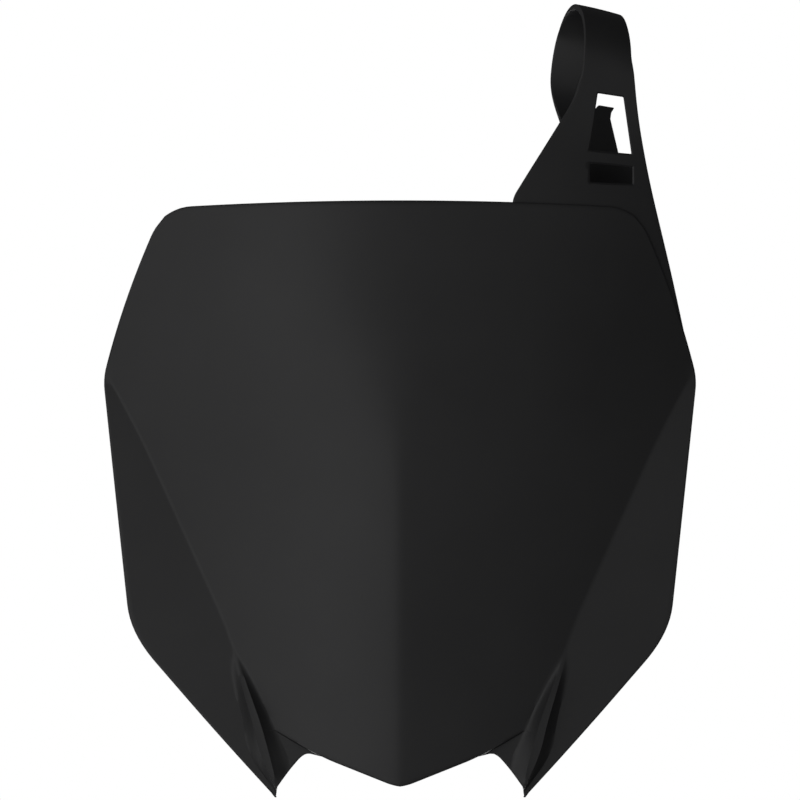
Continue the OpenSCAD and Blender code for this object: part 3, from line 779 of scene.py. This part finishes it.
def buildBand():
    flat, corner = 24, 4                       # cells across each broad side and round each edge
    tabRows, joinRows, loopRows = 56, 4, 110
    section = []   # share across, rounding towards the edge, rounding away from the surface, front or back
    for front, side in ((1, 1), (0, -1)):
        for k in range(flat + 1):
            section.append((side * (2 * k / flat - 1), 1, 0, front))
        for k in range(1, 2 * corner):
            a = k * pi / 2 / corner
            if k <= corner:
                section.append((side, 1 - sin(a), 1 - cos(a), front))
            else:
                section.append((side, 1 - sin(a), 1 + cos(a), 1 - front))
    bm = bmesh.new()
    stations = [mix(0, tabEnd, i / tabRows) for i in range(tabRows + 1)]
    stations += [tabEnd + i / joinRows for i in range(1, joinRows)]
    stations += [mix(loopStart, bandEnd, i / loopRows) for i in range(loopRows + 1)]
    count = len(section)
    made = bmesh.ops.create_grid(bm, x_segments=count, y_segments=len(stations) - 1, size=1)
    for v in made["verts"]:
        share, tuckIn, tuckBack, front = section[round((v.co.x + 1) / 2 * count) % count]
        s = stations[round((v.co.y + 1) / 2 * (len(stations) - 1))]
        half = (bandSurface(s, 1) - bandSurface(s, -1)).length / 2
        thick = bandThick(s)
        r = strap["edgeRound"]
        u = share * (1 - r * tuckIn / half)
        back = r * tuckBack if front else thick - r * tuckBack
        v.co = bandSurface(s, u) + bandInward(s, u) * back
    bmesh.ops.remove_doubles(bm, verts=bm.verts, dist=1e-4)
    bmesh.ops.holes_fill(bm, edges=[e for e in bm.edges if e.is_boundary])
    bmesh.ops.recalc_face_normals(bm, faces=bm.faces)
    return newObject("tabAndStrap", bm)


# the slot and the window through the tab, and the buttonhole near the strap's end

windows = dict(
    slotRise=7.5, slotWide=18, slotTall=7.4, slotShift=1.8, barTall=5.8,
    windowTall=24, windowWide=17.8, windowNarrow=10.8, windowShift=1.5,
    flare=0.7, above=0.3, holeTurn=228, holeLong=7.6, holeWide=3.4,
)
slotX, windowX = strapX + windows["slotShift"], strapX + windows["windowShift"]
slotZ = topLevel + windows["slotRise"]
windowZ = slotZ + windows["slotTall"] + windows["barTall"]


def opening(name, x, z, outline):   # a cutter that widens where it leaves the tab's front
    bm = prism(outline, -30, 20)
    deep, above = windows["flare"], windows["above"]
    for level in (-above, deep):
        sliceAt(bm, (0, level, 0), (0, 1, 0))
    wide = max(dx for dx, dz in outline)
    low, high = min(dz for dx, dz in outline), max(dz for dx, dz in outline)
    middle = (low + high) / 2
    for v in bm.verts:
        if v.co.y < 0:
            v.co.x *= 1 + (deep + above) / wide
            v.co.z = middle + (v.co.z - middle) * (1 + 2 * (deep + above) / (high - low))
        v.co += Vector((x, tabDepth(x + v.co.x, z + v.co.z), z))
    bmesh.ops.recalc_face_normals(bm, faces=bm.faces)
    return newObject(name, bm)


def cutWindows(band):
    half, tall = windows["slotWide"] / 2, windows["slotTall"]
    slot = [(-half, 0.3), (half, -0.3), (half, tall - 0.6), (-half, tall + 1)]
    half, tall, narrow = windows["windowWide"] / 2, windows["windowTall"], windows["windowNarrow"]
    window = [(-half, 0.8), (half, -0.8), (half - 3.4, tall - 0.8), (half - 3.4 - narrow, tall + 0.8)]
    tools = [opening("slotTool", slotX, slotZ, slot), opening("windowTool", windowX, windowZ, window)]
    turn = windows["holeTurn"]
    middle = strapSurface(turn, 0)
    across = (strapSurface(turn, 1) - strapSurface(turn, -1)).normalized()
    inward = (strapSurface(turn + 1, 0) - strapSurface(turn - 1, 0)).cross(across).normalized()
    along = inward.cross(across)
    long, wide = windows["holeLong"] / 2, windows["holeWide"] / 2
    bm = prism([(-long, -wide), (long, -wide), (long, wide), (-long, wide)], -6, 8, wide * 0.98)
    turned = Matrix((across, inward, along)).transposed().to_4x4()
    bmesh.ops.transform(bm, matrix=Matrix.Translation(middle) @ turned, verts=bm.verts)
    bmesh.ops.recalc_face_normals(bm, faces=bm.faces)
    tools.append(newObject("holeTool", bm))
    cutOut(band, tools, 35)


band = buildBand()
cutWindows(band)
finishPiece(band)


# the hook behind the window, on the tab's own slant

hook = dict(
    gap=8, thick=3, lean=14, foot=-4.5, footTall=3, footLeft=-6.5, footRight=9.5, sink=0.8, overlap=1.4,
    cornerRound=0.5, edgeRound=0.35, cell=3,
)
tabYaw = atan(tabDepth(slotX + 0.5, slotZ) - tabDepth(slotX - 0.5, slotZ))
tabTilt = atan(tabDepth(slotX, slotZ + 0.5) - tabDepth(slotX, slotZ - 0.5))
hookBack = strap["tabThick"] + hook["gap"]


def smallFaces(bm, step):   # cuts a flat body across X and Z, so that its large faces shade evenly
    for axis, across in ((0, Vector((1, 0, 0))), (2, Vector((0, 0, 1)))):
        places = [v.co[axis] for v in bm.verts]
        low, high = min(places), max(places)
        cuts = int((high - low) / step)
        for k in range(1, cuts + 1):
            sliceAt(bm, across * mix(low, high, k / (cuts + 1)), across)


def buildHook():
    tall, bar = windows["slotTall"], windows["barTall"]
    foot = hook["foot"]
    outline = [   # as it shows through the slot and the window
        (-11, foot), (9.8, foot), (9.8, tall + 2), (3.8, tall + 3), (3.4, tall + bar),
        (0.1, tall + bar + 14.4), (0.5, tall + bar + 17.1), (1.8, tall + bar + 19.2),
        (-4.9, tall + bar + 20.3), (-6.7, tall + bar + 18.4), (-7.9, tall + bar + 15.6),
        (-10.1, tall + bar - 0.4),
    ]
    lean = radians(hook["lean"])
    placed = []   # the same on the hook's own slanted front
    for dx, dz in outline:
        run = (dz - foot * cos(tabTilt) + hookBack * sin(tabTilt)) / cos(tabTilt + lean)
        back, up = hookBack + run * sin(lean), foot + run * cos(lean)
        placed.append(((dx + (back * cos(tabTilt) + up * sin(tabTilt)) * sin(tabYaw)) / cos(tabYaw), run))
    bm = prism(placed, 0, hook["thick"], hook["cornerRound"])
    flats = [e for e in bm.edges if abs(e.verts[0].co.y - e.verts[1].co.y) < 0.01]
    soften(bm, flats, hook["edgeRound"], 2)
    smallFaces(bm, hook["cell"])
    leaned = Matrix.Translation((0, hookBack, foot)) @ Matrix.Rotation(-lean, 4, "X")
    bmesh.ops.transform(bm, matrix=leaned, verts=bm.verts)
    left, right, top = hook["footLeft"], hook["footRight"], foot + hook["footTall"]
    base = prism([(left, foot), (right, foot), (right, top), (left, top)],
                 strap["tabThick"] - hook["sink"], hookBack + hook["overlap"], 0)
    mesh = bpy.data.meshes.new("foot")
    base.to_mesh(mesh)
    base.free()
    bm.from_mesh(mesh)
    bpy.data.meshes.remove(mesh)
    place = Matrix.Translation((slotX, tabDepth(slotX, slotZ), slotZ))
    place = place @ Matrix.Rotation(tabYaw, 4, "Z") @ Matrix.Rotation(-tabTilt, 4, "X")
    bmesh.ops.transform(bm, matrix=place, verts=bm.verts)
    return newObject("strapHook", bm)


finishPiece(flatShading(buildHook()))


# behind the shell: the bolt lug and its gussets, the rib along the keel and the locating socket

rear = dict(
    boltHole=6.6, lugThick=6, lugWidth=26, gussetThick=3, gussetReach=24,
    ribThick=2.4, ribTall=5, ribTop=92, ribSink=0.3, ribEndShare=0.35,
    socketBore=10, socketWall=2.6, socketDepth=14, socketLevel=-88, socketSink=1.6, socketFloor=0.4,
    sink=1.2, rounding=0.5,   # how far a piece reaches into the wall, and its rounded edges
)


def midWall(x, z):
    return skinDepth(x, z) + rear["sink"]


def plate(outline, thick):   # an outline of (y, z) pairs as a plate across X
    bm = slab([(-thick / 2, y, z) for y, z in outline], (thick, 0, 0))
    softenSharp(bm, rear["rounding"])
    return bm


def buildLug():
    half, thick = rear["lugWidth"] / 2, rear["lugThick"]
    arc, base = 48, 8   # cells round the free end, and on each side along the wall
    outline = [(half * cos(pi * k / arc), half * sin(pi * k / arc)) for k in range(arc + 1)]
    outline += [(k * half / base, midWall(k * half / base, 0)) for k in range(-base, base + 1)]
    bm = slab([(x, y, -thick / 2) for x, y in outline], (0, 0, thick))
    softenSharp(bm, rear["rounding"])
    lug = newObject("boltLug", bm)
    tool = bmesh.new()
    bore = rear["boltHole"] / 2
    bmesh.ops.create_cone(tool, cap_ends=True, segments=64, radius1=bore, radius2=bore, depth=4 * thick)
    cutOut(lug, [newObject("boreTool", tool)], 40)
    return lug


def buildGusset(side):
    x = side * (rear["lugWidth"] / 2 - rear["gussetThick"] / 2)
    end = board["boltBack"] / 5   # it stops a fifth of the way short of the hole
    levels = [k * rear["gussetReach"] / 8 for k in range(-8, 9)]
    outline = [(midWall(x, z), z) for z in levels]
    outline += [(-end, rear["lugThick"] / 2), (-end, -rear["lugThick"] / 2)]
    bm = plate(outline, rear["gussetThick"])
    bmesh.ops.translate(bm, vec=(x, 0, 0), verts=bm.verts)
    return newObject("gussetRight" if side > 0 else "gussetLeft", bm)


def buildRib():
    steps = 36
    low = rear["socketLevel"] + rear["socketBore"] / 2 + 1
    levels = [mix(low, rear["ribTop"], i / steps) for i in range(steps + 1)]
    outline = [(midWall(0, z) + rear["ribSink"], z) for z in levels]
    for i in range(steps, -1, -1):   # its top quarter tapers off
        tall = rear["ribTall"] * min(1, rear["ribEndShare"] + (steps - i) / (steps / 4))
        outline.append((midWall(0, levels[i]) + tall, levels[i]))
    return newObject("keelRib", plate(outline, rear["ribThick"]))


def buildSocket():
    bore, wall = rear["socketBore"] / 2, rear["socketWall"]
    base = skinDepth(0, rear["socketLevel"])
    foot = base + rear["socketSink"]
    floor = base + board["wall"] + rear["socketFloor"]
    mouth = floor + rear["socketDepth"]
    outer, soft = bore + wall, rear["rounding"]
    quarter = [k * pi / 6 for k in range(4)]
    profile = [(0, floor), (bore, floor)]   # radius and depth
    profile += [(bore + soft * (1 - cos(a)), mouth - soft * (1 - sin(a))) for a in quarter]
    profile += [(outer - soft * (1 - sin(a)), mouth - soft * (1 - cos(a))) for a in quarter]
    profile += [(outer, foot), (0, foot)]
    bm = bmesh.new()
    verts = [bm.verts.new((r, y, 0)) for r, y in profile]
    edges = [bm.edges.new((verts[k], verts[k + 1])) for k in range(len(verts) - 1)]
    bmesh.ops.spin(bm, geom=verts + edges, cent=(0, 0, 0), axis=(0, 1, 0), angle=2 * pi,
                   steps=72, use_merge=True)
    closeSeams(bm, 1e-3)
    bmesh.ops.translate(bm, vec=(0, 0, rear["socketLevel"]), verts=bm.verts)
    return newObject("locatingSocket", bm)


for piece in (buildLug(), buildGusset(-1), buildGusset(1), buildRib(), buildSocket()):
    finishPiece(flatShading(piece))
